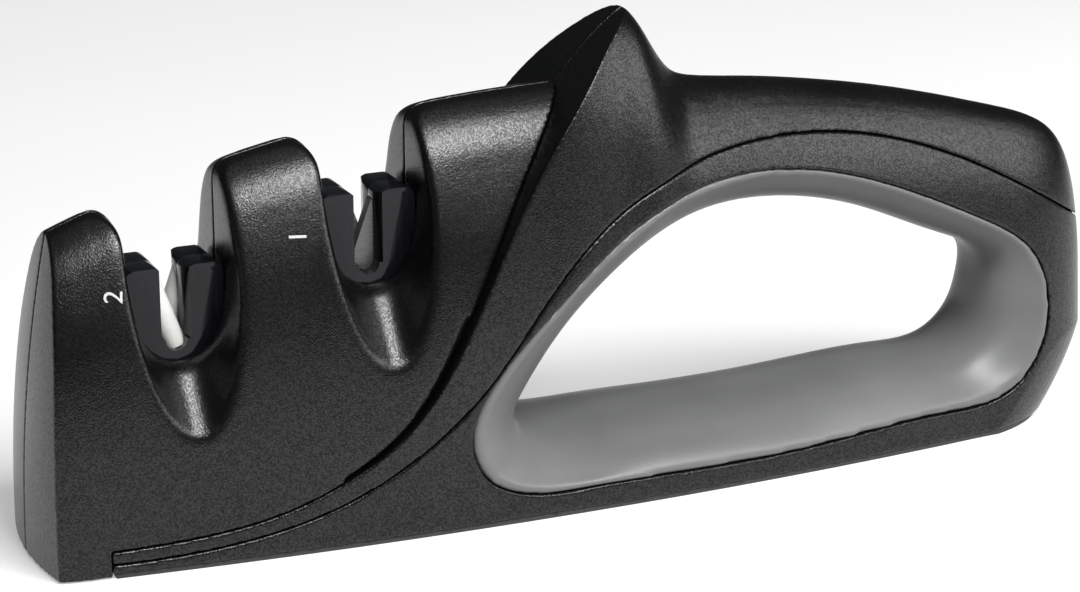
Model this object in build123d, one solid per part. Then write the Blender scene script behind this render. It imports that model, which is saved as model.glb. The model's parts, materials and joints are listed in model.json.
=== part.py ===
from build123d import *
import math
import os

os.makedirs("parts", exist_ok=True)

# Driving sizes in millimetres. X runs from the nose to the end of the handle, Y across the tool
# and Z up from the table. The finished pieces are moved so that the origin is under the middle.

# Overall length. The outlines below are drawn at DRAWN_LENGTH, and the handle behind HANDLE_X is
# stretched to the length that is asked for.
LENGTH = 206.6
DRAWN_LENGTH = 206.6
HANDLE_X = 122.0

# Plan of the moulded body
HALF_WIDTH = 21.1
WIDEST_X = 88.0
SIDE_RADIUS = 780.0
NOSE_TURN_X = 10.0
NOSE_TURN_RADIUS = 30.0
END_TURN = 25.4
END_BLUNT = 0.4

# Ridge of the head and of the taller spine body, as (distance from the nose, height)
HEAD_RIDGE = [(-6, 50), (8, 57.6), (20, 61.6), (36, 66), (52, 69.3), (72, 72.2), (90, 73.5), (114, 74)]
SPINE_RIDGE = [
    (0, 64), (40, 78), (65, 89), (84, 96), (94, 97), (100, 92.4), (105, 88), (108, 86.7),
    (110.5, 85.6), (113, 82.6), (116, 77.8), (119, 74), (122, 72.2), (127, 71.2), (136, 70.3),
    (148, 68.7), (162, 66.2), (176, 62.9), (188, 59.6), (195, 57.2), (200, 53.8), (203.5, 47.5),
    (205.6, 39), (206.6, 32),
]
HEAD_STEP = 0.5

# Rounded end of the handle: drawn in towards the table, as (height, end of the plan, its half width)
END_ROUND_X = 170.0
END_PLANS = [(0, 198.2, 17.0), (11, 204.8, 17.4), (27, 208.4, 17.8)]

# Steps of the smooth surfaces
RIDGE_STATIONS = 48
ARCH_STATIONS = 13
SURFACE_TOLERANCE = 0.02

# Nose of the head: its bow in plan and its lean in side view
NOSE_BOW_RADIUS = 65.0
NOSE_LEAN_RADIUS = 262.0

# Parting lines in side view: head to spine, and spine to base
SWEEP_LINE = [
    (10.8, 4.6), (28, 5.6), (41, 8), (52, 12.3), (62, 18.8), (70.2, 29), (77.3, 41.6), (84.6, 55),
    (91.4, 65.4), (98.2, 74), (105, 81.2), (109.5, 84.8), (116, 88.6),
]
LOOP_LINE = [
    (10.8, 2.6), (30, 3.5), (52, 8.5), (68, 17.4), (78, 26.6), (87, 37.8), (101, 51.3), (120, 59.2),
    (141, 61.5), (159, 59), (180, 51.2), (201, 39.6), (214, 32.5),
]
SHUT_GAP = 0.2
SEAM_GAP = 0.12

# Tongue of the base in a groove of the spine, along the handle
TONGUE_X = 100.0
TONGUE_HEIGHT = 1.2
TONGUE_HALF = 2.5
TONGUE_FIT = 0.1

# Finger hole: edge of the soft lining on the outer faces, and its crest on the middle plane,
# drawn through pairs of points that face each other
RING_LINE = [
    (100, 4.6), (140, 4.7), (170, 6.2), (185, 8), (191.8, 14.8), (194, 24), (191.4, 32.8), (179, 41.8),
    (158, 51), (138, 55.8), (121, 55), (106, 49.8), (90, 37.8), (78, 25.6), (74.1, 16.4), (76.8, 8.8),
    (84.5, 5),
]
CREST_LINE = [
    (103, 11), (142, 12), (167, 14), (177, 15.5), (181.5, 20.5), (182.8, 25.8), (183.2, 31.4), (174.6, 37.2),
    (155.5, 45), (136, 48.6), (124, 47.8), (110.3, 42.5), (97, 31.8), (89, 20.6), (87, 15.8), (87.6, 13.4),
    (91.5, 12),
]
RING_RIM = 0.1
RING_ROUNDNESS = 3.0
RING_FIT = 0.007
RING_OVERCUT = 0.25
HOLE_ROWS = 8

# Sole
SOLE_THICKNESS = 1.0
SOLE_INSET = 0.5
HEAD_LIFT = 0.25

# Sharpening notches
FINE_X = 26.4
STAGE_PITCH = 34.5
FINE_FLOOR = 33.4
STAGE_RISE = 9.2
NOTCH_HALF = 8.65
NOTCH_RISE = 13.0
NOTCH_WALL_DRAFT = 0.1
NOTCH_LIP_RADIUS = 4.0

# Scallop in front of a notch: its ledge, and its section where it has left the body
LEDGE_Y = 9.0
LEDGE_HALF = 8.9
LEDGE_RISE = 18.0
LEDGE_DROP = 1.2
SCALLOP_HALF = 10.4
SCALLOP_RISE = 35.0
SCALLOP_DROP = 17.0
SCALLOP_OVERCUT = 0.9

# Guide inserts, rods, blades and pins
INSERT_HALF = 8.5
INSERT_HALF_DEPTH = 5.4
INSERT_FIT = 0.1
INSERT_FOOT = 12.0
POST_HEIGHT = 16.0
SLOT_WIDTH = 3.8
SLOT_FLOOR = 1.2
SLOT_MOUTH_FLARE = 0.7
SLOT_MOUTH_DEPTH = 3.0
POST_TOP_RADIUS = 1.9
ROD_RADIUS = 2.0
ROD_TILT = 20.0
ROD_CROSSING = 2.7
ROD_UP = 11.6
ROD_DOWN = 1.4
BLADE_THICKNESS = 2.2
BLADE_WIDTH = 4.4
ELEMENT_GAP = 0.1
PIN_RADIUS = 1.25
PIN_DROP = 9.0
PIN_HALF_LENGTH = 10.5
BORE_FIT = 0.05

# Shell walls and screws
WALL = 2.3
SPINE_CAVITY_X = 84.0
BOSS_RADIUS = 3.6
SCREW_RADIUS = 1.45
SCREW_HEAD_RADIUS = 2.3
SCREW_HEAD_HEIGHT = 1.8
SCREW_SEAT = 3.0
SCREW_REACH = 5.0
COUNTERBORE_FIT = 0.2
HEAD_SCREWS = [(9.5, 27), (30, 13), (44, 44), (74, 50)]
SPINE_SCREWS = [(104, 66), (130, 65.4), (186, 53.5)]
BASE_SCREWS = [(60, 6.3), (200.2, 22)]

# Reach of the cutting blocks past the body
FAR = 2 * HALF_WIDTH
TOP = 110.0


def stretched(points):
    """Side-view points with the handle stretched to the overall length."""
    stretch = (LENGTH - HANDLE_X) / (DRAWN_LENGTH - HANDLE_X)
    return [(x + max(0, x - HANDLE_X) * (stretch - 1), z) for x, z in points]


def side_half_width(x):
    return HALF_WIDTH - (x - WIDEST_X) ** 2 / (2 * SIDE_RADIUS)


def plan_half_width(x):
    """Half width of the plan: long bowed sides, turned in at the nose, rounded at the handle end."""
    if x < NOSE_TURN_X:
        return side_half_width(NOSE_TURN_X) - (NOSE_TURN_X - x) ** 2 / (2 * NOSE_TURN_RADIUS)
    turn_x = LENGTH - END_TURN
    if x > turn_x:
        reach = (x - turn_x) / (END_TURN + END_BLUNT)
        return side_half_width(turn_x) * math.sqrt(1 - reach ** 2)
    return side_half_width(x)


def moulded_body(ridge, inset):
    """Solid under a ridge line: half-ellipse arches along it, drawn in all round by the inset."""
    crest = Spline(*stretched(ridge))
    rows = []
    for station in range(RIDGE_STATIONS):
        point = crest.position_at(station / (RIDGE_STATIONS - 1))
        half_width = plan_half_width(point.X) - inset
        height = point.Y - inset
        turns = [math.pi * k / (ARCH_STATIONS - 1) for k in range(ARCH_STATIONS)]
        rows.append([(point.X, -half_width * math.cos(a), height * math.sin(a)) for a in turns])
    return closed_surface(rows)


def closed_surface(rows):
    """Solid bounded by a smooth surface through rows of points and by flat faces on its open edges."""
    skin = Face.make_surface_from_array_of_points(rows, tol=SURFACE_TOLERANCE)
    arches = [e for e in skin.edges() if e.bounding_box().size.X < SURFACE_TOLERANCE]
    feet = [e for e in skin.edges() if e.bounding_box().size.X >= SURFACE_TOLERANCE]
    ends = [make_face([e, Line(e @ 1, e @ 0)]) for e in arches]
    floor = make_face(feet + [Line(e @ 1, e @ 0) for e in arches])
    return Solid(Shell([skin, floor.face(), *[end.face() for end in ends]]))


def side_region(edges):
    """Solid of a closed side-view outline, through the whole width."""
    return extrude(Plane.XZ * make_face(edges), amount=FAR, both=True)


def closed_by(curve, *corners):
    """A curve in side view, closed by straight lines through the corners."""
    points = [curve @ 1, *corners, curve @ 0]
    return [curve] + [Line(a, b) for a, b in zip(points, points[1:])]


def ridge_height(ridge, x):
    """Height of a ridge at a distance from the nose."""
    points = stretched(ridge)
    for (x0, z0), (x1, z1) in zip(points, points[1:]):
        if x0 <= x <= x1:
            return z0 + (z1 - z0) * (x - x0) / (x1 - x0)
    return points[-1][1]


def half_spaces():
    """Front and rear halves of space, parted by the mould seam."""
    block = Box(4 * LENGTH, FAR, 4 * TOP)
    shift = FAR / 2 + SEAM_GAP / 2
    return Pos(0, -shift, 0) * block, Pos(0, shift, 0) * block


FRONT, REAR = half_spaces()


def cross_rod(x, z, radius, y0, y1):
    """Cylinder across the tool, between two values of Y."""
    return Pos(x, (y0 + y1) / 2, z) * Rot(90, 0, 0) * Cylinder(radius, abs(y1 - y0))


# Stages
STAGES = {
    "fine": (FINE_X, FINE_FLOOR),
    "coarse": (FINE_X + STAGE_PITCH, FINE_FLOOR + STAGE_RISE),
}


def notch_lip(x, side):
    """Arc that rolls the top of a notch wall over onto its tower, side -1 on the left and 1 on the right."""
    crest = (x + side * NOTCH_LIP_RADIUS, ridge_height(HEAD_RIDGE, x + side * NOTCH_LIP_RADIUS) - HEAD_STEP)
    centre = Vector(crest[0], crest[1] - NOTCH_LIP_RADIUS)
    middle = centre + Vector(-side, 1).normalized() * NOTCH_LIP_RADIUS
    return ThreePointArc(crest, middle, (x, centre.Y))


def notch_profile(x, floor, half, rise, y):
    """U of a notch at one depth: an oval floor of the given rise and upright walls under rolled lips."""
    left, right = notch_lip(x - half, -1), notch_lip(x + half, 1)
    round_floor = EllipticalCenterArc((x, floor + rise), half, rise, start_angle=180, arc_size=180)
    corners = [right @ 0, ((right @ 0).X, TOP), ((left @ 0).X, TOP), left @ 0]
    edges = [left, Line(left @ 1, round_floor @ 0), round_floor, Line(round_floor @ 1, right @ 1), right]
    edges += [Line(a, b) for a, b in zip(corners, corners[1:])]
    return Pos(0, y, 0) * (Plane.XZ * make_face(edges))


def notch_cutter(x, floor):
    """Notch through the head, drafted from the seam and flared into a scallop on each face."""
    wide = NOTCH_HALF + NOTCH_WALL_DRAFT
    depths = [
        (HALF_WIDTH + SCALLOP_OVERCUT, SCALLOP_HALF, SCALLOP_RISE, floor - SCALLOP_DROP),
        (LEDGE_Y, LEDGE_HALF, LEDGE_RISE, floor - LEDGE_DROP),
        (INSERT_HALF_DEPTH + INSERT_FIT, wide, NOTCH_RISE, floor),
        (0, NOTCH_HALF, NOTCH_RISE, floor),
    ]
    front = [notch_profile(x, z, half, rise, -y) for y, half, rise, z in depths]
    rear = [notch_profile(x, z, half, rise, y) for y, half, rise, z in reversed(depths[:-1])]
    return loft(front + rear, ruled=True)


def insert_pocket(x, floor):
    """Square pocket that the foot of an insert drops into."""
    half = INSERT_HALF + INSERT_FIT
    depth = 2 * (INSERT_HALF_DEPTH + INSERT_FIT)
    height = INSERT_FOOT + POST_HEIGHT
    return Pos(x, 0, floor - INSERT_FOOT + height / 2) * Box(2 * half, depth, height)


def insert_pin(x, floor, grow=0.0):
    """Steel pin across the foot of an insert and into both halves of the head."""
    return cross_rod(x, floor - PIN_DROP, PIN_RADIUS + grow, -PIN_HALF_LENGTH - grow, PIN_HALF_LENGTH + grow)


def leaning(x, floor, side, solid):
    """Sets a sharpening element at its lean, side -1 with its top to the left and 1 to the right."""
    return Pos(x, 0, floor + ROD_CROSSING) * Rot(0, side * ROD_TILT, 0) * solid


def rod(x, floor, side, grow=0.0):
    """Round ceramic rod, side -1 in front and 1 behind."""
    length = ROD_UP + ROD_DOWN
    place = Pos(0, side * (ROD_RADIUS + ELEMENT_GAP), (ROD_UP - ROD_DOWN) / 2)
    return leaning(x, floor, side, place * Cylinder(ROD_RADIUS + grow, length + 2 * grow))


def blade(x, floor, side, grow=0.0):
    """Flat carbide blade with rounded ends, side -1 in front and 1 behind."""
    length = ROD_UP + ROD_DOWN + 2 * grow
    outline = RectangleRounded(BLADE_WIDTH + 2 * grow, length, BLADE_WIDTH / 3)
    plate = extrude(Plane.XZ * outline, amount=BLADE_THICKNESS / 2 + grow, both=True)
    place = Pos(0, side * (BLADE_THICKNESS / 2 + ELEMENT_GAP), (ROD_UP - ROD_DOWN) / 2)
    return leaning(x, floor, -side, place * plate)


def slot_mouth(x, floor, side):
    """Wedge that opens the slot of an insert towards its outer face."""
    narrow, wide = SLOT_WIDTH / 2, SLOT_WIDTH / 2 + SLOT_MOUTH_FLARE
    inner, outer = side * (INSERT_HALF_DEPTH - SLOT_MOUTH_DEPTH), side * (INSERT_HALF_DEPTH + INSERT_FIT)
    plan = make_face(Polyline((-narrow, inner), (narrow, inner), (wide, outer), (-wide, outer), close=True))
    return Pos(x, 0, floor + SLOT_FLOOR + narrow) * extrude(plan, amount=POST_HEIGHT, dir=(0, 0, 1))


def insert_half(x, floor, side, element):
    """Half of a guide insert: foot, two posts with rounded tops, U slot and the seat of its element."""
    block = Rectangle(2 * INSERT_HALF, INSERT_FOOT + POST_HEIGHT, align=(Align.CENTER, Align.MIN))
    block = Pos(x, floor - INSERT_FOOT) * block
    slot_height = POST_HEIGHT - SLOT_FLOOR + SLOT_WIDTH
    slot = RectangleRounded(SLOT_WIDTH, 2 * slot_height, SLOT_WIDTH / 2 - 0.01)
    outline = block - Pos(x, floor + SLOT_FLOOR + slot_height) * slot
    top_corners = outline.vertices().group_by(Axis.Y)[-1]
    outline = fillet(top_corners, POST_TOP_RADIUS)
    solid = extrude(Plane.XZ * outline, amount=INSERT_HALF_DEPTH, both=True)
    solid = solid & (FRONT if side < 0 else REAR)
    solid = solid - slot_mouth(x, floor, side)
    return solid - insert_pin(x, floor, BORE_FIT) - element(x, floor, side, BORE_FIT)


# Side-view regions of the three mouldings
sweep = Spline(*stretched(SWEEP_LINE))
loop = Spline(*stretched(LOOP_LINE))
right_of_sweep = side_region(
    closed_by(sweep, (LENGTH + FAR, TOP), (LENGTH + FAR, -FAR), (SWEEP_LINE[0][0], -FAR))
)
left_of_sweep = side_region(
    closed_by(Pos(0, SHUT_GAP) * sweep, (-FAR, TOP), (-FAR, -FAR), (SWEEP_LINE[0][0] - SHUT_GAP, -FAR))
)
above_loop = side_region(closed_by(loop, (LENGTH + FAR, TOP), (-FAR, TOP), (-FAR, LOOP_LINE[0][1])))
below_loop = side_region(
    closed_by(Pos(0, -SHUT_GAP) * loop, (LENGTH + FAR, -FAR), (LOOP_LINE[0][0], -FAR))
)


def bowed_nose():
    """Space behind the nose face, which is bowed in plan and leans back in side view."""
    ring = Torus(NOSE_LEAN_RADIUS - NOSE_BOW_RADIUS, NOSE_BOW_RADIUS)
    front = Pos(NOSE_LEAN_RADIUS, 0, 0) * Rot(90, 0, 0) * ring
    return front + beyond(NOSE_BOW_RADIUS)


def beyond(x):
    return Pos(x, 0, 0) * Box(LENGTH, 2 * FAR, 2 * TOP, align=(Align.MIN, Align.CENTER, Align.CENTER))


def above(z):
    return Pos(0, 0, z) * Box(4 * LENGTH, 2 * FAR, TOP, align=(Align.CENTER, Align.CENTER, Align.MIN))


def screw(x, z):
    """Pan-head screw from the rear half into the front half."""
    shank = cross_rod(x, z, SCREW_RADIUS, -SCREW_REACH, SCREW_SEAT)
    cap = cross_rod(x, z, SCREW_HEAD_RADIUS, SCREW_SEAT, SCREW_SEAT + SCREW_HEAD_HEIGHT)
    return shank + cap


def screw_hole(x, z):
    """Pilot and clearance bore of a screw, with the counterbore of its head open to the rear."""
    bore = cross_rod(x, z, SCREW_RADIUS + BORE_FIT, -SCREW_REACH - BORE_FIT, SCREW_SEAT)
    return bore + cross_rod(x, z, SCREW_HEAD_RADIUS + COUNTERBORE_FIT, SCREW_SEAT, FAR)


def boss(x, z):
    return cross_rod(x, z, BOSS_RADIUS, -FAR, FAR)


def lining_swell(x, z, y):
    """Share of the lining's full depth: all of it on the middle plane, a thin rim at the outer faces."""
    height_share = z / ridge_height(SPINE_RIDGE, x)
    out = abs(y) / (plan_half_width(x) * math.sqrt(1 - height_share ** 2))
    if out < 1:
        return RING_RIM + (1 - RING_RIM) * (1 - out ** RING_ROUNDNESS)
    steepness = (1 - RING_RIM) * RING_ROUNDNESS / RING_OVERCUT
    return RING_RIM - RING_OVERCUT * (1 - math.exp(-steepness * (out - 1)))


def lining_outline(swell_at):
    """Closed curve between the edge and the crest of the lining, at a share of the way for each point."""
    points = []
    for (x, z), (crest_x, crest_z) in zip(stretched(RING_LINE), stretched(CREST_LINE)):
        share = swell_at(x, z)
        points.append((x + (crest_x - x) * share, z + (crest_z - z) * share))
    return Spline(*points, periodic=True)


def hole_section(y):
    """Clear opening of the finger hole at one depth."""
    outline = lining_outline(lambda x, z: lining_swell(x, z, y))
    return Pos(0, y, 0) * (Plane.XZ * make_face([outline]))


def finger_hole():
    """Hourglass void through the lining, narrowest on the middle plane."""
    reach = HALF_WIDTH * (1 + RING_OVERCUT / 2)
    rows = [reach * row / HOLE_ROWS for row in range(-HOLE_ROWS, HOLE_ROWS + 1)]
    return loft([hole_section(y) for y in rows])


def end_plan(z, end_x, half_width):
    """Plan of the rounded end of the handle at one height."""
    (start_x, _), (tip_x, _) = stretched([(END_ROUND_X, z), (end_x, z)])
    turn = EllipticalCenterArc((start_x, 0), tip_x - start_x, half_width, start_angle=-90, arc_size=180)
    back = [(start_x, FAR), (start_x - FAR, FAR), (start_x - FAR, -FAR), (start_x, -FAR)]
    return Pos(0, 0, z) * make_face([turn, *Polyline(turn @ 1, *back, turn @ 0).edges()])


def end_undercut():
    """What is taken off the end of the handle below its longest height."""
    (start_x, _), = stretched([(END_ROUND_X, 0)])
    block = Box(FAR, 2 * FAR, END_PLANS[-1][0], align=(Align.MIN, Align.CENTER, Align.MIN))
    return Pos(start_x, 0, 0) * block - loft([end_plan(*row) for row in END_PLANS])


# Outer bodies of the three mouldings
outer_body = moulded_body(SPINE_RIDGE, 0) - end_undercut()
head_body = moulded_body(HEAD_RIDGE, HEAD_STEP) & bowed_nose() & left_of_sweep & above(HEAD_LIFT)
spine_body = outer_body & right_of_sweep & above_loop

ring_tube = side_region([lining_outline(lambda x, z: 0)])
base_body = (outer_body & right_of_sweep & below_loop & above(SOLE_THICKNESS)) - ring_tube

# Soft lining of the finger hole
ring_core = side_region([lining_outline(lambda x, z: RING_FIT)])
grip_ring = (outer_body & ring_core) - finger_hole()

# Cavities of the shells
inner_head = moulded_body(HEAD_RIDGE, HEAD_STEP + WALL) & (Pos(WALL, 0, 0) * bowed_nose()) & above(2 * WALL)
head_cavity = inner_head & (Pos(-WALL, 0, WALL) * left_of_sweep)
inner_outer = moulded_body(SPINE_RIDGE, WALL)
spine_cavity = inner_outer & (Pos(WALL, 0, -WALL) * right_of_sweep) & (Pos(0, 0, WALL) * above_loop)
spine_cavity = spine_cavity & beyond(SPINE_CAVITY_X)


def tongue(grow):
    """Tongue along the top of the base, grown by a fit for the groove in the spine."""
    raised = side_region(closed_by(
        Pos(0, TONGUE_HEIGHT + grow) * loop, (LENGTH + FAR, -FAR), (LOOP_LINE[0][0], -FAR)
    ))
    band = raised & (Pos(0, 0, -WALL) * above_loop) & beyond(TONGUE_X - grow)
    return band & Box(4 * LENGTH, 2 * (TONGUE_HALF + grow), 4 * TOP) & inner_outer


spine_body = spine_body - tongue(TONGUE_FIT)
base_body = base_body + (tongue(0) - ring_tube)

for stage_x, stage_floor in STAGES.values():
    head_body = head_body - notch_cutter(stage_x, stage_floor) - insert_pocket(stage_x, stage_floor)
    head_body = head_body - insert_pin(stage_x, stage_floor, BORE_FIT)
    keep_half = SCALLOP_HALF + WALL
    keep_floor = stage_floor - SCALLOP_DROP - WALL
    head_cavity = head_cavity - Pos(stage_x, 0, keep_floor) * Box(
        2 * keep_half, 2 * FAR, TOP, align=(Align.CENTER, Align.CENTER, Align.MIN)
    )


def shell_halves(body, cavity, screws):
    """Front and rear half of a moulding, hollowed round its screw bosses."""
    for x, z in stretched(screws):
        if cavity:
            cavity = cavity - boss(x, z)
        body = body - screw_hole(x, z)
    if cavity:
        body = body - cavity
    return body & FRONT, body & REAR


parts = {}
parts["head_shell_front"], parts["head_shell_rear"] = shell_halves(head_body, head_cavity, HEAD_SCREWS)
parts["spine_shell_front"], parts["spine_shell_rear"] = shell_halves(spine_body, spine_cavity, SPINE_SCREWS)
parts["base_shell_front"], parts["base_shell_rear"] = shell_halves(base_body, None, BASE_SCREWS)
parts["grip_ring"] = grip_ring

sole_slab = Pos(SWEEP_LINE[0][0] + SOLE_INSET, 0, 0) * Box(
    LENGTH, 2 * FAR, SOLE_THICKNESS, align=(Align.MIN, Align.CENTER, Align.MIN)
)
sole_body = moulded_body(SPINE_RIDGE, SOLE_INSET) - Pos(-SOLE_INSET, 0, 0) * end_undercut()
parts["sole_pad"] = sole_body & sole_slab

for stage, (stage_x, stage_floor) in STAGES.items():
    element, element_name = (rod, "rod") if stage == "fine" else (blade, "blade")
    for side, place in ((-1, "front"), (1, "rear")):
        parts[f"{stage}_insert_{place}"] = insert_half(stage_x, stage_floor, side, element)
        parts[f"{stage}_{element_name}_{place}"] = element(stage_x, stage_floor, side)
    parts[f"{stage}_insert_pin"] = insert_pin(stage_x, stage_floor)

for name, places in (("head", HEAD_SCREWS), ("spine", SPINE_SCREWS), ("base", BASE_SCREWS)):
    parts[f"{name}_screws"] = Compound([screw(x, z) for x, z in stretched(places)])

for name, shape in parts.items():
    export_step(Pos(-LENGTH / 2, 0, 0) * shape, f"parts/{name}.step")
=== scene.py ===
import json
import math

import bmesh
import bpy
from mathutils import Matrix, Vector
from mathutils.bvhtree import BVHTree


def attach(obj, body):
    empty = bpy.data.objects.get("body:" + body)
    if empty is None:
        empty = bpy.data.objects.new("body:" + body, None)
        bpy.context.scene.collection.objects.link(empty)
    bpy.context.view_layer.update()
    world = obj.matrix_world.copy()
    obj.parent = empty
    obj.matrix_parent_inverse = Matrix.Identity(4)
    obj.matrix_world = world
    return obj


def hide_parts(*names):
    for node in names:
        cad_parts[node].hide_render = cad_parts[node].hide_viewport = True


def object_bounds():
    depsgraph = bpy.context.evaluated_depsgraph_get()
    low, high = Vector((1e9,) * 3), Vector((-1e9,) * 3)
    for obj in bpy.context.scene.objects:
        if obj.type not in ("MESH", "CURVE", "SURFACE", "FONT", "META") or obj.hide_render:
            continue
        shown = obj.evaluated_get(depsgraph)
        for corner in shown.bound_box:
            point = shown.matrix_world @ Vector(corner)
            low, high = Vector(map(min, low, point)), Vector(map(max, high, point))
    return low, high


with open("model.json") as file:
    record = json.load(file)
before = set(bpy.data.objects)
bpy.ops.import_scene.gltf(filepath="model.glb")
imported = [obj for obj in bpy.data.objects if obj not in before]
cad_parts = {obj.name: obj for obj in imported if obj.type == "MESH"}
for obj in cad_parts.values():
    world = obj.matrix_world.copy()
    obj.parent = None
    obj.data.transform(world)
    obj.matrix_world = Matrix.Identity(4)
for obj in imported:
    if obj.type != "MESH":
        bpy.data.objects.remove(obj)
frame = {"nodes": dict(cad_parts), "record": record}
cad_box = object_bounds()
nodes = frame["nodes"]

MM = 0.001

# Points closer than this are one point of a mesh
MERGE_DISTANCE = 0.001 * MM

# Camera, in the photograph's frame of 1080 by 592 pixels
PHOTO_WIDTH_PX = 1080
FOCAL_PX = 3000
SENSOR_WIDTH = 36.0
CAMERA_TARGET = Vector((-15.561, -17.202, 40.0)) * MM
CAMERA_DISTANCE = 515.8 * MM
CAMERA_YAW = math.radians(-23)
CAMERA_RISE = math.radians(18)
CAMERA_NEAR = 10 * MM

# Fine meshes of the mouldings: grid, passes of rounding and how far each moves a point,
# and the most triangles in one of them
SHELL_GRID = 0.25 * MM
LINING_GRID = 0.6 * MM
ROUNDING_PASSES = 10
ROUNDING_SHARE = 0.5
MOST_TRIANGLES = 170_000

# Broader rounding round the notches of the head: middles along X, reach to both sides, lowest height,
# distance kept from the seam, and passes
NOTCH_PLACES = (-76.9 * MM, -42.4 * MM)
NOTCH_REACH = 14 * MM
NOTCH_LOW = 12 * MM
NOTCH_SEAM = 0.8 * MM
RIM_PASSES = 160

# Lip of the front halves that closes the seam inside: depth of the seam face, and how far it is carried over
SEAM_BAND = 0.2 * MM
SEAM_REACH = 0.3 * MM

# Rounded edges of the small parts
INSERT_EDGE = 0.5 * MM
ELEMENT_EDGE = 0.3 * MM
SOLE_EDGE = 0.3 * MM
EDGE_STEPS = 3
SHARP_ANGLE = math.radians(30)

# Cross recess of the screws, as shares of the head's radius and height, and sides of their round bars
RECESS_WIDTH = 0.3
RECESS_REACH = 1.25
RECESS_DEPTH = 0.6
SCREW_SIDES = 40

# Stage numerals: figure, place on the head as (X, Z), lean from upright in degrees
NUMERALS = {
    "fine_numeral": ("2", (-88.6 * MM, 47.0 * MM), 8),
    "coarse_numeral": ("1", (-57.0 * MM, 54.0 * MM), 3),
}
NUMERAL_SIZE = 4.4 * MM
INK_LIFT = 0.07 * MM
INK_CUTS = 3

# Pale floor, with a little glow of its own for a white background
FLOOR_DULL = (0.64, 0.64, 0.64)
FLOOR_PALE = (0.68, 0.68, 0.68)
FLOOR_CLOUD = 0.3
FLOOR_SHEEN = 0.1
FLOOR_GLOW = 0.4
FLOOR_HALF = 4.0

# Lamps: angle from the front and angle above the table in degrees, size in metres, power in watts
LAMPS = {
    "main_light": (14, 53, (0.58, 0.56), 18),
    "side_light": (52, 25, (0.76, 0.56), 5.0),
    "top_light": (0, 85, (0.9, 0.9), 1.0),
}
LAMP_DISTANCE = 1.2
LIT_POINT = Vector((0, 0, 0.04))
WORLD_COLOR = (0.9, 0.95, 1.0, 1)
WORLD_STRENGTH = 0.05


def direction(yaw, rise):
    """Unit vector from the object towards a place round it."""
    flat = math.cos(rise)
    return Vector((math.sin(yaw) * flat, -math.cos(yaw) * flat, math.sin(rise)))


# Node materials

# Range that most values of a noise lie in
NOISE_RANGE = (0.3, 0.7)


def new_material(name):
    material = bpy.data.materials.new(name)
    material.use_nodes = True
    tree = material.node_tree
    shader = tree.nodes["Principled BSDF"]
    return material, tree, shader


def add(tree, kind, **values):
    """Node of a kind, with its sockets or properties set by name."""
    node = tree.nodes.new(kind)
    for key, value in values.items():
        socket = node.inputs.get(key.replace("_", " "))
        if socket is not None:
            socket.default_value = value
        else:
            setattr(node, key, value)
    return node


def object_place(tree):
    return tree.nodes.new("ShaderNodeTexCoord").outputs["Object"]


def stretched(tree, place, scale):
    """Coordinates scaled along each axis."""
    node = add(tree, "ShaderNodeMapping", Scale=scale)
    tree.links.new(place, node.inputs["Vector"])
    return node.outputs["Vector"]


def noise(tree, place, size, detail):
    """Noise whose grain is about the given size in metres."""
    node = add(tree, "ShaderNodeTexNoise", Scale=1 / size, Detail=detail)
    tree.links.new(place, node.inputs["Vector"])
    return node.outputs["Fac"]


def specks(tree, place, size):
    """Random value for each grain of a surface, about the given size in metres."""
    node = add(tree, "ShaderNodeTexVoronoi", Scale=1 / size)
    tree.links.new(place, node.inputs["Vector"])
    return node.outputs["Color"]


def spread(tree, value, low, high, from_low=NOISE_RANGE[0], from_high=NOISE_RANGE[1]):
    """Number between two, by a noise value or by one of another range."""
    node = add(tree, "ShaderNodeMapRange", From_Min=from_low, From_Max=from_high, To_Min=low, To_Max=high)
    tree.links.new(value, node.inputs["Value"])
    return node.outputs["Result"]


def ramp(tree, value, dark, light):
    """Colour between two, by a noise value."""
    node = tree.nodes.new("ShaderNodeValToRGB")
    for element, position, color in zip(node.color_ramp.elements, NOISE_RANGE, (dark, light)):
        element.position = position
        element.color = (*color, 1)
    tree.links.new(value, node.inputs["Fac"])
    return node.outputs["Color"]


def bump(tree, height, depth, strength):
    """Surface normal of a relief of the given depth in metres."""
    node = add(tree, "ShaderNodeBump", Strength=strength, Distance=depth)
    tree.links.new(height, node.inputs["Height"])
    return node.outputs["Normal"]


def drive(tree, shader, **values):
    """Links values to the inputs of a shader by name."""
    for key, value in values.items():
        tree.links.new(value, shader.inputs[key.replace("_", " ")])


def black_housing():
    """Black plastic with the sparkling grain of a spark-eroded mould."""
    material, tree, shader = new_material("black_housing")
    place = object_place(tree)
    grain = noise(tree, place, size=0.26 * MM, detail=1.0)
    cloud = noise(tree, place, size=14 * MM, detail=3.0)
    drive(
        tree, shader,
        Base_Color=ramp(tree, cloud, dark=(0.0024, 0.0025, 0.0027), light=(0.0036, 0.0037, 0.0039)),
        Roughness=spread(tree, cloud, low=0.25, high=0.29),
        Normal=bump(tree, grain, depth=0.045 * MM, strength=1.0),
        Specular_IOR_Level=spread(tree, specks(tree, place, size=0.24 * MM), low=0.28, high=0.62),
    )
    return material


def gloss_insert():
    """Polished black plastic of the guide posts, with faint rubbing marks."""
    material, tree, shader = new_material("gloss_insert")
    upright = stretched(tree, object_place(tree), scale=(1, 1, 0.08))
    streak = noise(tree, upright, size=0.5 * MM, detail=3.0)
    drive(
        tree, shader,
        Base_Color=ramp(tree, streak, dark=(0.004, 0.0045, 0.006), light=(0.008, 0.0085, 0.0105)),
        Roughness=spread(tree, streak, low=0.07, high=0.13),
        Normal=bump(tree, streak, depth=0.02 * MM, strength=0.1),
    )
    shader.inputs["Specular IOR Level"].default_value = 0.3
    return material


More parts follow.
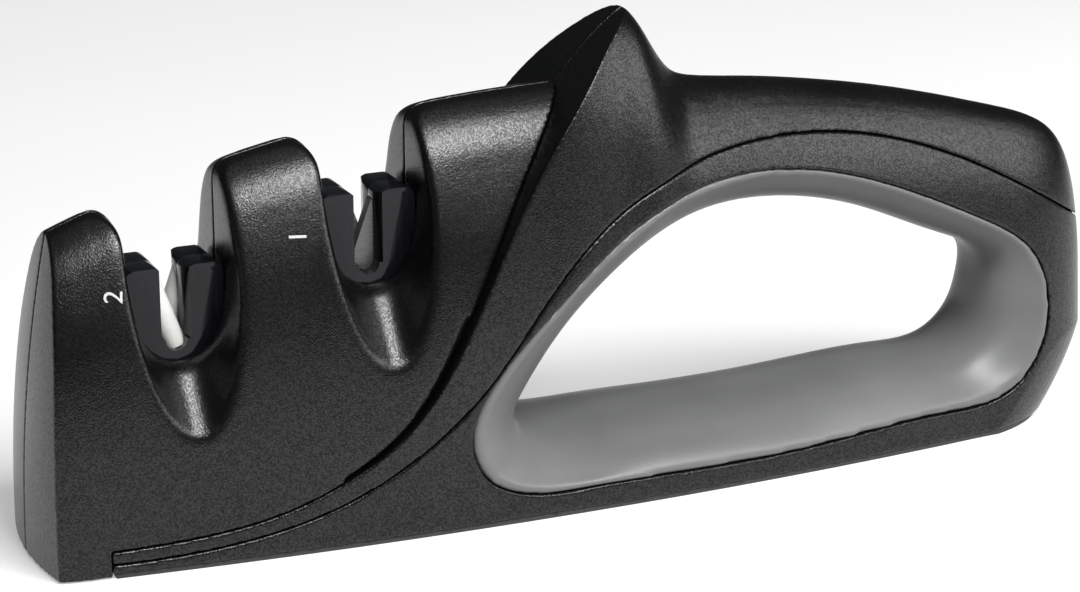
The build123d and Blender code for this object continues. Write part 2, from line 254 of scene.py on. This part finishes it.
def grip_rubber():
    """Satin grey soft-touch lining."""
    material, tree, shader = new_material("grip_rubber")
    place = object_place(tree)
    cloud = noise(tree, place, size=18 * MM, detail=3.0)
    grain = noise(tree, place, size=0.22 * MM, detail=1.0)
    drive(
        tree, shader,
        Base_Color=ramp(tree, cloud, dark=(0.145, 0.147, 0.146), light=(0.17, 0.172, 0.171)),
        Roughness=spread(tree, grain, low=0.34, high=0.42),
        Normal=bump(tree, grain, depth=0.03 * MM, strength=0.3),
    )
    return material


def sole_rubber():
    """Matte dark rubber of the sole."""
    material, tree, shader = new_material("sole_rubber")
    grain = noise(tree, object_place(tree), size=0.4 * MM, detail=2.0)
    drive(
        tree, shader,
        Base_Color=ramp(tree, grain, dark=(0.03, 0.03, 0.03), light=(0.05, 0.05, 0.05)),
        Roughness=spread(tree, grain, low=0.6, high=0.75),
        Normal=bump(tree, grain, depth=0.05 * MM, strength=0.4),
    )
    return material


def white_ceramic():
    """Fine-grained fired ceramic of the rods."""
    material, tree, shader = new_material("white_ceramic")
    place = object_place(tree)
    grain = noise(tree, place, size=0.2 * MM, detail=3.0)
    cloud = noise(tree, place, size=3 * MM, detail=2.0)
    drive(
        tree, shader,
        Base_Color=ramp(tree, cloud, dark=(0.80, 0.79, 0.76), light=(0.88, 0.875, 0.85)),
        Roughness=spread(tree, grain, low=0.42, high=0.6),
        Normal=bump(tree, grain, depth=0.02 * MM, strength=0.3),
    )
    return material


def grey_carbide():
    """Sintered carbide, matte grey with grinding lines across the blade."""
    material, tree, shader = new_material("grey_carbide")
    across = stretched(tree, object_place(tree), scale=(0.15, 1, 1))
    ground = noise(tree, across, size=0.25 * MM, detail=4.0)
    drive(
        tree, shader,
        Base_Color=ramp(tree, ground, dark=(0.13, 0.13, 0.13), light=(0.22, 0.22, 0.215)),
        Roughness=spread(tree, ground, low=0.38, high=0.55),
        Normal=bump(tree, ground, depth=0.02 * MM, strength=0.35),
    )
    shader.inputs["Metallic"].default_value = 0.7
    return material


def screw_steel():
    """Zinc-plated steel with a faint mottle."""
    material, tree, shader = new_material("screw_steel")
    mottle = noise(tree, object_place(tree), size=0.6 * MM, detail=3.0)
    drive(
        tree, shader,
        Base_Color=ramp(tree, mottle, dark=(0.42, 0.42, 0.43), light=(0.58, 0.58, 0.59)),
        Roughness=spread(tree, mottle, low=0.25, high=0.4),
        Normal=bump(tree, mottle, depth=0.01 * MM, strength=0.2),
    )
    shader.inputs["Metallic"].default_value = 1.0
    return material


def white_ink():
    """Printed white ink, slightly uneven."""
    material, tree, shader = new_material("white_ink")
    patch = noise(tree, object_place(tree), size=0.3 * MM, detail=2.0)
    drive(
        tree, shader,
        Base_Color=ramp(tree, patch, dark=(0.55, 0.55, 0.55), light=(0.70, 0.70, 0.70)),
        Roughness=spread(tree, patch, low=0.45, high=0.6),
        Normal=bump(tree, patch, depth=0.02 * MM, strength=0.3),
    )
    return material


finishes = {
    "black_housing": black_housing(),
    "gloss_insert": gloss_insert(),
    "grip_rubber": grip_rubber(),
    "sole_rubber": sole_rubber(),
    "white_ceramic": white_ceramic(),
    "grey_carbide": grey_carbide(),
    "screw_steel": screw_steel(),
}
ink = white_ink()
node_slots = {row["node"]: row["material_slot"] for row in frame["record"]["subparts"]}


# Pieces

def new_piece(name, mesh):
    piece = bpy.data.objects.new(name, mesh)
    bpy.context.scene.collection.objects.link(piece)
    return piece


def merged_copy(node, name):
    """New mesh object with a node's shape, its loose triangles joined."""
    mesh = nodes[node].data.copy()
    mesh.name = name
    shape = bmesh.new()
    shape.from_mesh(mesh)
    bmesh.ops.remove_doubles(shape, verts=shape.verts, dist=MERGE_DISTANCE)
    shape.to_mesh(mesh)
    shape.free()
    return new_piece(name, mesh)


def apply_modifiers(piece):
    """Replaces the mesh of a piece by what its modifiers make of it."""
    bpy.context.view_layer.update()
    evaluated = piece.evaluated_get(bpy.context.evaluated_depsgraph_get())
    mesh = bpy.data.meshes.new_from_object(evaluated)
    piece.modifiers.clear()
    piece.data = mesh


def finish_piece(piece, node):
    """Gives a piece the finish of the node that it stands for."""
    piece.data.materials.clear()
    piece.data.materials.append(finishes[node_slots[node]])
    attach(piece, "root")
    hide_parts(node)


def near_notch(point):
    """Whether a point of the head belongs to the flared surroundings of a notch, away from the seam."""
    beside = any(abs(point.x - x) < NOTCH_REACH for x in NOTCH_PLACES)
    return beside and point.z > NOTCH_LOW and abs(point.y) > NOTCH_SEAM


def round_rims(piece):
    """Rounds the rims of the notches more broadly than the other edges."""
    group = piece.vertex_groups.new(name="rims")
    group.add([vert.index for vert in piece.data.vertices if near_notch(vert.co)], 1.0, "REPLACE")
    rims = piece.modifiers.new("rims", "SMOOTH")
    rims.factor = ROUNDING_SHARE
    rims.iterations = RIM_PASSES
    rims.vertex_group = group.name
    apply_modifiers(piece)


def close_seam(piece):
    """Carries the seam face of a front half over to the rear half, so that no light shows between them."""
    for vert in piece.data.vertices:
        if vert.co.y > -SEAM_BAND:
            vert.co.y += SEAM_REACH


def thin_out(piece):
    """Joins triangles where the surface is flattest, down to the most that a piece may have."""
    piece.data.calc_loop_triangles()
    count = len(piece.data.loop_triangles)
    if count > MOST_TRIANGLES:
        fewer = piece.modifiers.new("fewer", "DECIMATE")
        fewer.ratio = MOST_TRIANGLES / count
        apply_modifiers(piece)


def moulding(node, grid):
    """Moulded part with a fine even mesh, so that its edges are softly rounded."""
    piece = merged_copy(node, node + "_moulding")
    even = piece.modifiers.new("even_mesh", "REMESH")
    even.mode = "VOXEL"
    even.voxel_size = grid
    rounding = piece.modifiers.new("rounding", "SMOOTH")
    rounding.factor = ROUNDING_SHARE
    rounding.iterations = ROUNDING_PASSES
    apply_modifiers(piece)
    if node.startswith("head"):
        round_rims(piece)
    if node.endswith("shell_front"):
        close_seam(piece)
    thin_out(piece)
    piece.data.shade_smooth()
    finish_piece(piece, node)
    return piece


def edged(node, width):
    """Small part with narrow rounded edges."""
    piece = merged_copy(node, node + "_edged")
    edge = piece.modifiers.new("edge", "BEVEL")
    edge.width = width
    edge.segments = EDGE_STEPS
    edge.limit_method = "ANGLE"
    edge.angle_limit = SHARP_ANGLE
    apply_modifiers(piece)
    piece.data.shade_smooth()
    piece.data.set_sharp_from_angle(angle=SHARP_ANGLE)
    finish_piece(piece, node)


shells = {}
for part in ("head", "spine", "base"):
    for side in ("front", "rear"):
        shell_node = f"{part}_shell_{side}"
        shells[shell_node] = moulding(shell_node, SHELL_GRID)
moulding("grip_ring", LINING_GRID)
edged("sole_pad", SOLE_EDGE)
for side in ("front", "rear"):
    edged(f"fine_insert_{side}", INSERT_EDGE)
    edged(f"coarse_insert_{side}", INSERT_EDGE)
    edged(f"fine_rod_{side}", ELEMENT_EDGE)
    edged(f"coarse_blade_{side}", ELEMENT_EDGE)


# Screws

def loose_shapes(node):
    """Points of each loose solid of a node, in the order of its mesh."""
    shape = bmesh.new()
    shape.from_mesh(nodes[node].data)
    bmesh.ops.remove_doubles(shape, verts=shape.verts, dist=MERGE_DISTANCE)
    shape.verts.index_update()
    seen = set()
    shapes = []
    for first in shape.verts:
        if first.index in seen:
            continue
        seen.add(first.index)
        points, border = [], [first]
        while border:
            vert = border.pop()
            points.append(vert.co.copy())
            for edge in vert.link_edges:
                other = edge.other_vert(vert)
                if other.index not in seen:
                    seen.add(other.index)
                    border.append(other)
        shapes.append(points)
    shape.free()
    return shapes


def screw_measures(points):
    """Seat of the head and the sizes of one screw, whose head points to +Y."""
    middle_x = (min(p.x for p in points) + max(p.x for p in points)) / 2
    middle_z = (min(p.z for p in points) + max(p.z for p in points)) / 2
    low, high = min(p.y for p in points), max(p.y for p in points)
    radii = {p.to_tuple(): math.hypot(p.x - middle_x, p.z - middle_z) for p in points}
    head_radius = max(radii.values())
    shank_radius = max(r for place, r in radii.items() if place[1] < low + (high - low) / 4)
    seat = min(place[1] for place, r in radii.items() if r > (head_radius + shank_radius) / 2)
    sizes = {
        "Head Radius": head_radius, "Head Height": high - seat,
        "Shank Radius": shank_radius, "Shank Length": seat - low,
    }
    return Vector((middle_x, seat, middle_z)), sizes


def screw_tree():
    """Geometry Nodes: a screw with a cross recess at every point."""
    tree = bpy.data.node_groups.new("screws_at_points", "GeometryNodeTree")
    tree.interface.new_socket("Geometry", in_out="INPUT", socket_type="NodeSocketGeometry")
    sockets = {}
    kinds = dict.fromkeys(("Head Radius", "Head Height", "Shank Radius", "Shank Length"), "NodeSocketFloat")
    kinds["Finish"] = "NodeSocketMaterial"
    for name, kind in kinds.items():
        sockets[name] = tree.interface.new_socket(name, in_out="INPUT", socket_type=kind).identifier
    tree.interface.new_socket("Geometry", in_out="OUTPUT", socket_type="NodeSocketGeometry")
    given = tree.nodes.new("NodeGroupInput").outputs
    result = tree.nodes.new("NodeGroupOutput")
    link = tree.links.new

    def times(value, factor):
        node = add(tree, "ShaderNodeMath", operation="MULTIPLY")
        link(value, node.inputs[0])
        node.inputs[1].default_value = factor
        return node.outputs[0]

    def vector(x=None, y=None, z=None):
        node = tree.nodes.new("ShaderNodeCombineXYZ")
        for value, socket in zip((x, y, z), node.inputs):
            if value is not None:
                link(value, socket)
        return node.outputs[0]

    def round_bar(radius, length, shift):
        """Cylinder along Z, its middle at a share of its length above the seat."""
        bar = add(tree, "GeometryNodeMeshCylinder", Vertices=SCREW_SIDES)
        link(radius, bar.inputs["Radius"])
        link(length, bar.inputs["Depth"])
        move = tree.nodes.new("GeometryNodeTransform")
        link(bar.outputs["Mesh"], move.inputs["Geometry"])
        link(vector(z=times(length, shift)), move.inputs["Translation"])
        return move.outputs["Geometry"]

    def slot_bar(size_x, size_y):
        """Cutter of one arm of the recess, sunk into the top of the head."""
        cube = tree.nodes.new("GeometryNodeMeshCube")
        link(vector(size_x, size_y, times(given["Head Height"], 2 * RECESS_DEPTH)), cube.inputs["Size"])
        move = tree.nodes.new("GeometryNodeTransform")
        link(cube.outputs["Mesh"], move.inputs["Geometry"])
        link(vector(z=given["Head Height"]), move.inputs["Translation"])
        return move.outputs["Geometry"]

    head = round_bar(given["Head Radius"], given["Head Height"], 0.5)
    shank = round_bar(given["Shank Radius"], given["Shank Length"], -0.5)
    wide, narrow = times(given["Head Radius"], RECESS_REACH), times(given["Head Radius"], RECESS_WIDTH)
    recess = add(tree, "GeometryNodeMeshBoolean", operation="DIFFERENCE")
    link(head, recess.inputs["Mesh 1"])
    link(slot_bar(wide, narrow), recess.inputs["Mesh 2"])
    link(slot_bar(narrow, wide), recess.inputs["Mesh 2"])
    whole = tree.nodes.new("GeometryNodeJoinGeometry")
    link(recess.outputs["Mesh"], whole.inputs[0])
    link(shank, whole.inputs[0])
    turn = tree.nodes.new("GeometryNodeTransform")
    turn.inputs["Rotation"].default_value = (-math.pi / 2, 0, 0)
    link(whole.outputs[0], turn.inputs["Geometry"])
    spots = tree.nodes.new("GeometryNodeInstanceOnPoints")
    link(given["Geometry"], spots.inputs["Points"])
    link(turn.outputs["Geometry"], spots.inputs["Instance"])
    real = tree.nodes.new("GeometryNodeRealizeInstances")
    link(spots.outputs["Instances"], real.inputs["Geometry"])
    paint = tree.nodes.new("GeometryNodeSetMaterial")
    link(real.outputs["Geometry"], paint.inputs["Geometry"])
    link(given["Finish"], paint.inputs["Material"])
    link(paint.outputs["Geometry"], result.inputs["Geometry"])
    return tree, sockets


def make_screws():
    """Screws of each moulding, with the sizes and places of the solids that they stand for."""
    tree, sockets = screw_tree()
    for part in ("head", "spine", "base"):
        node = f"{part}_screws"
        measured = [screw_measures(points) for points in loose_shapes(node)]
        mesh = bpy.data.meshes.new(node + "_driven")
        mesh.from_pydata([seat for seat, _ in measured], [], [])
        piece = new_piece(node + "_driven", mesh)
        modifier = piece.modifiers.new("screws", "NODES")
        modifier.node_group = tree
        for name, size in measured[0][1].items():
            modifier[sockets[name]] = size
        modifier[sockets["Finish"]] = finishes["screw_steel"]
        apply_modifiers(piece)
        finish_piece(piece, node)


make_screws()


# Printed numerals

def surface_of(piece):
    """Search tree for rays that meet a piece."""
    shape = bmesh.new()
    shape.from_mesh(piece.data)
    surface = BVHTree.FromBMesh(shape)
    shape.free()
    return surface


def numeral(name, figure, place, lean, surface):
    """Printed figure that reads upwards and lies on the front of the head."""
    curve = bpy.data.curves.new(name, "FONT")
    curve.body = figure
    curve.size = NUMERAL_SIZE
    curve.align_x = "CENTER"
    curve.align_y = "CENTER"
    piece = new_piece(name, curve)
    bpy.context.view_layer.update()
    mesh = bpy.data.meshes.new_from_object(piece.evaluated_get(bpy.context.evaluated_depsgraph_get()))
    bpy.data.objects.remove(piece)
    shape = bmesh.new()
    shape.from_mesh(mesh)
    bmesh.ops.remove_doubles(shape, verts=shape.verts, dist=MERGE_DISTANCE)
    bmesh.ops.triangulate(shape, faces=shape.faces)
    bmesh.ops.subdivide_edges(shape, edges=shape.edges, cuts=INK_CUTS, use_grid_fill=True)
    turn = Matrix.Rotation(math.radians(90 - lean), 3, "Z")
    for vert in shape.verts:
        flat = turn @ vert.co
        start = Vector((place[0] + flat.x, cad_box[0][1], place[1] + flat.y))
        hit, normal, _, _ = surface.ray_cast(start, Vector((0, 1, 0)))
        vert.co = hit + normal * INK_LIFT
    shape.to_mesh(mesh)
    shape.free()
    printed = new_piece(name, mesh)
    printed.data.materials.clear()
    printed.data.materials.append(ink)
    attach(printed, "root")


head_surface = surface_of(shells["head_shell_front"])
for numeral_name, (figure, place, lean) in NUMERALS.items():
    numeral(numeral_name, figure, place, lean, head_surface)

for node_name, node_object in nodes.items():
    node_object.data.materials.clear()
    node_object.data.materials.append(finishes[node_slots[node_name]])


# Stage

def floor_material():
    """Plain pale floor, lifted to white where it is seen directly, in a gloss or through glass."""
    material, tree, shader = new_material("pale_floor")
    cloud = noise(tree, object_place(tree), size=FLOOR_CLOUD, detail=2.0)
    drive(
        tree, shader,
        Base_Color=ramp(tree, cloud, dark=FLOOR_DULL, light=FLOOR_PALE),
        Roughness=spread(tree, cloud, low=0.88, high=0.94),
    )
    shader.inputs["Specular IOR Level"].default_value = FLOOR_SHEEN
    path = tree.nodes.new("ShaderNodeLightPath")
    seen = path.outputs["Is Camera Ray"]
    for ray in ("Is Glossy Ray", "Is Transmission Ray"):
        either = add(tree, "ShaderNodeMath", operation="MAXIMUM")
        tree.links.new(seen, either.inputs[0])
        tree.links.new(path.outputs[ray], either.inputs[1])
        seen = either.outputs[0]
    shader.inputs["Emission Color"].default_value = (1, 1, 1, 1)
    drive(tree, shader, Emission_Strength=spread(tree, seen, low=0, high=FLOOR_GLOW, from_low=0, from_high=1))
    return material


def make_stage():
    """Wide plain floor."""
    corners = [(-FLOOR_HALF, -FLOOR_HALF, 0), (FLOOR_HALF, -FLOOR_HALF, 0),
               (FLOOR_HALF, FLOOR_HALF, 0), (-FLOOR_HALF, FLOOR_HALF, 0)]
    mesh = bpy.data.meshes.new("floor")
    mesh.from_pydata(corners, [], [(0, 1, 2, 3)])
    floor = new_piece("floor", mesh)
    floor.data.materials.append(floor_material())


def softbox(name, yaw, rise, size, power):
    """Rectangular lamp that faces the tool, at angles in degrees from its front and from the table."""
    data = bpy.data.lights.new(name, "AREA")
    data.shape = "RECTANGLE"
    data.size, data.size_y = size
    data.energy = power
    lamp = bpy.data.objects.new(name, data)
    towards = direction(math.radians(yaw), math.radians(rise))
    lamp.location = LIT_POINT + towards * LAMP_DISTANCE
    lamp.rotation_euler = (-towards).to_track_quat("-Z", "Y").to_euler()
    bpy.context.scene.collection.objects.link(lamp)


def make_light():
    """Soft lamps and a faint world."""
    for name, lamp in LAMPS.items():
        softbox(name, *lamp)
    world = bpy.data.worlds.new("studio")
    world.use_nodes = True
    background = world.node_tree.nodes["Background"]
    background.inputs["Color"].default_value = WORLD_COLOR
    background.inputs["Strength"].default_value = WORLD_STRENGTH
    bpy.context.scene.world = world


def make_camera():
    """Camera of the photograph."""
    data = bpy.data.cameras.new("camera")
    data.sensor_width = SENSOR_WIDTH
    data.lens = FOCAL_PX / PHOTO_WIDTH_PX * SENSOR_WIDTH
    data.clip_start = CAMERA_NEAR
    camera = bpy.data.objects.new("camera", data)
    back = direction(CAMERA_YAW, CAMERA_RISE)
    camera.location = CAMERA_TARGET + back * CAMERA_DISTANCE
    camera.rotation_euler = (-back).to_track_quat("-Z", "Y").to_euler()
    bpy.context.scene.collection.objects.link(camera)
    bpy.context.scene.camera = camera


make_stage()
make_light()
make_camera()
bpy.context.scene.view_settings.view_transform = "Standard"
